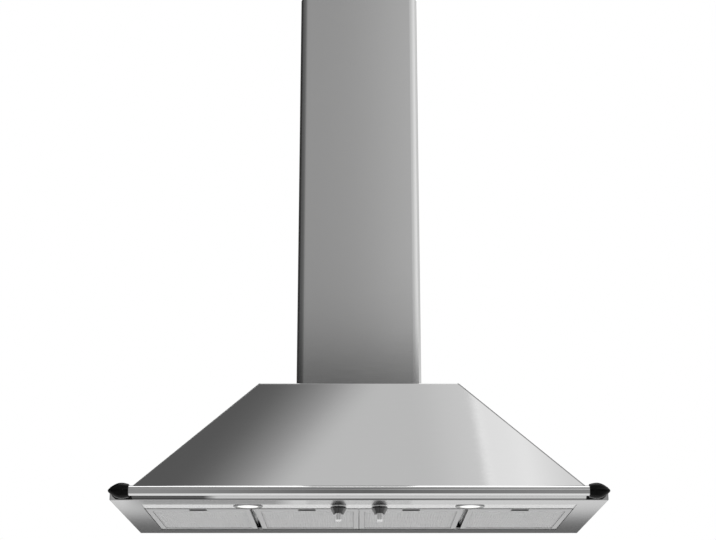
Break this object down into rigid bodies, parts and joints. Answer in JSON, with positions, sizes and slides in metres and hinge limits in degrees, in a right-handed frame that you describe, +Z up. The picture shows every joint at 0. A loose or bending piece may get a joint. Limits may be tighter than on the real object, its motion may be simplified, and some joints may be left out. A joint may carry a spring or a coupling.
{
  "type": "chimney range hood",
  "caption": "Wall chimney hood: sloping canopy with telescopic flue cover, underside lamps, knobs and hinged grease filters, front rail and a blower inside.",
  "frame": {"origin": "on the wall plane, midway across the hood, at the level of the underside", "axes": "+X to the right seen from the room, +Y into the wall, +Z up"},
  "size_m": [1.1, 0.5444, 1.4313],
  "materials": {
    "stainless": "fine brushed stainless steel",
    "bright_tube": "polished stainless tube",
    "black_cap": "gloss black",
    "galvanised": "galvanised sheet",
    "chrome_trim": "chrome",
    "steel_pin": "zinc-plated steel",
    "brass": "turned brass",
    "lamp_glass": "frosted glass",
    "bulb": "capsule bulb and ceramic base",
    "filter_aluminium": "satin",
    "filter_mesh": "expanded mesh",
    "black_plastic": "moulded",
    "white_plastic": "moulded",
    "motor_paint": "grey lacquer"
  },
  "bodies": {
    "root": {"base_frame": "stainless", "canopy_shell": "stainless", "rear_panel": "galvanised", "control_strip": "stainless", "stay_bar_left": "stainless", "stay_bar_centre": "stainless", "stay_bar_right": "stainless", "lower_flue": "stainless", "hand_rail": "bright_tube", "rail_end_left": "black_cap", "rail_end_right": "black_cap", "screws": "steel_pin", "light_bezel": "chrome_trim", "fan_bezel": "chrome_trim", "light_switch": "black_plastic", "fan_switch": "black_plastic", "lamp_ring_left": "chrome_trim", "lamp_ring_right": "chrome_trim", "lamp_glass_left": "lamp_glass", "lamp_glass_right": "lamp_glass", "lamp_can_left": "galvanised", "lamp_can_right": "galvanised", "lamp_bulb_left": "bulb", "lamp_bulb_right": "bulb", "blower_scroll": "galvanised", "inlet_plate": "galvanised", "motor": "motor_paint", "motor_bracket": "galvanised", "outlet_collar": "galvanised", "damper_pin": "steel_pin", "terminal_box": "black_plastic", "capacitor": "white_plastic", "cable_gland": "black_plastic"},
    "upper_flue": {"upper_flue": "stainless", "flue_bracket": "galvanised", "bracket_screws": "steel_pin"},
    "light_knob": {"light_knob": "chrome_trim", "light_spindle": "brass"},
    "fan_knob": {"fan_knob": "chrome_trim", "fan_spindle": "brass"},
    "filter_1": {"filter_frame_1": "filter_aluminium", "filter_mesh_1": "filter_mesh", "catch_spring_1": "steel_pin"},
    "catch_1": {"filter_catch_1": "black_plastic"},
    "filter_2": {"filter_frame_2": "filter_aluminium", "filter_mesh_2": "filter_mesh", "catch_spring_2": "steel_pin"},
    "catch_2": {"filter_catch_2": "black_plastic"},
    "filter_3": {"filter_frame_3": "filter_aluminium", "filter_mesh_3": "filter_mesh", "catch_spring_3": "steel_pin"},
    "catch_3": {"filter_catch_3": "black_plastic"},
    "filter_4": {"filter_frame_4": "filter_aluminium", "filter_mesh_4": "filter_mesh", "catch_spring_4": "steel_pin"},
    "catch_4": {"filter_catch_4": "black_plastic"},
    "impeller": {"impeller": "galvanised", "motor_shaft": "steel_pin"},
    "damper_front": {"damper_flap_front": "galvanised"},
    "damper_rear": {"damper_flap_rear": "galvanised"}
  },
  "joints": [
    {"name": "upper_flue_slide", "type": "slide", "parent": "root", "child": "upper_flue", "axis": [0, 0, 1], "range_m": [0, 0.4]},
    {"name": "light_knob_turn", "type": "hinge", "parent": "root", "child": "light_knob", "pos_m": [-0.0465, -0.407, -0.01], "axis": [0, 0, 1], "range_deg": [0, 90]},
    {"name": "fan_knob_turn", "type": "hinge", "parent": "root", "child": "fan_knob", "pos_m": [0.0465, -0.407, -0.01], "axis": [0, 0, 1], "range_deg": [0, 135]},
    {"name": "filter_1_swing", "type": "hinge", "parent": "root", "child": "filter_1", "pos_m": [-0.36919, -0.06, 0.004], "axis": [1, 0, 0], "range_deg": [0, 65]},
    {"name": "catch_1_slide", "type": "slide", "parent": "filter_1", "child": "catch_1", "axis": [0, 1, 0], "range_m": [0, 0.006], "stiffness_N_per_m": 300, "springref_m": -0.004, "deforming": ["catch_spring_1"]},
    {"name": "filter_2_swing", "type": "hinge", "parent": "root", "child": "filter_2", "pos_m": [-0.11956, -0.06, 0.004], "axis": [1, 0, 0], "range_deg": [0, 65]},
    {"name": "catch_2_slide", "type": "slide", "parent": "filter_2", "child": "catch_2", "axis": [0, 1, 0], "range_m": [0, 0.006], "stiffness_N_per_m": 300, "springref_m": -0.004, "deforming": ["catch_spring_2"]},
    {"name": "filter_3_swing", "type": "hinge", "parent": "root", "child": "filter_3", "pos_m": [0.11956, -0.06, 0.004], "axis": [1, 0, 0], "range_deg": [0, 65]},
    {"name": "catch_3_slide", "type": "slide", "parent": "filter_3", "child": "catch_3", "axis": [0, 1, 0], "range_m": [0, 0.006], "stiffness_N_per_m": 300, "springref_m": -0.004, "deforming": ["catch_spring_3"]},
    {"name": "filter_4_swing", "type": "hinge", "parent": "root", "child": "filter_4", "pos_m": [0.36919, -0.06, 0.004], "axis": [1, 0, 0], "range_deg": [0, 65]},
    {"name": "catch_4_slide", "type": "slide", "parent": "filter_4", "child": "catch_4", "axis": [0, 1, 0], "range_m": [0, 0.006], "stiffness_N_per_m": 300, "springref_m": -0.004, "deforming": ["catch_spring_4"]},
    {"name": "impeller_spin", "type": "hinge", "parent": "root", "child": "impeller", "pos_m": [0, -0.21, 0.17], "axis": [1, 0, 0], "continuous": true},
    {"name": "damper_front_swing", "type": "hinge", "parent": "root", "child": "damper_front", "pos_m": [0, -0.135, 0.348], "axis": [-1, 0, 0], "range_deg": [0, 75]},
    {"name": "damper_rear_swing", "type": "hinge", "parent": "root", "child": "damper_rear", "pos_m": [0, -0.135, 0.348], "axis": [1, 0, 0], "range_deg": [0, 75]}
  ]
}
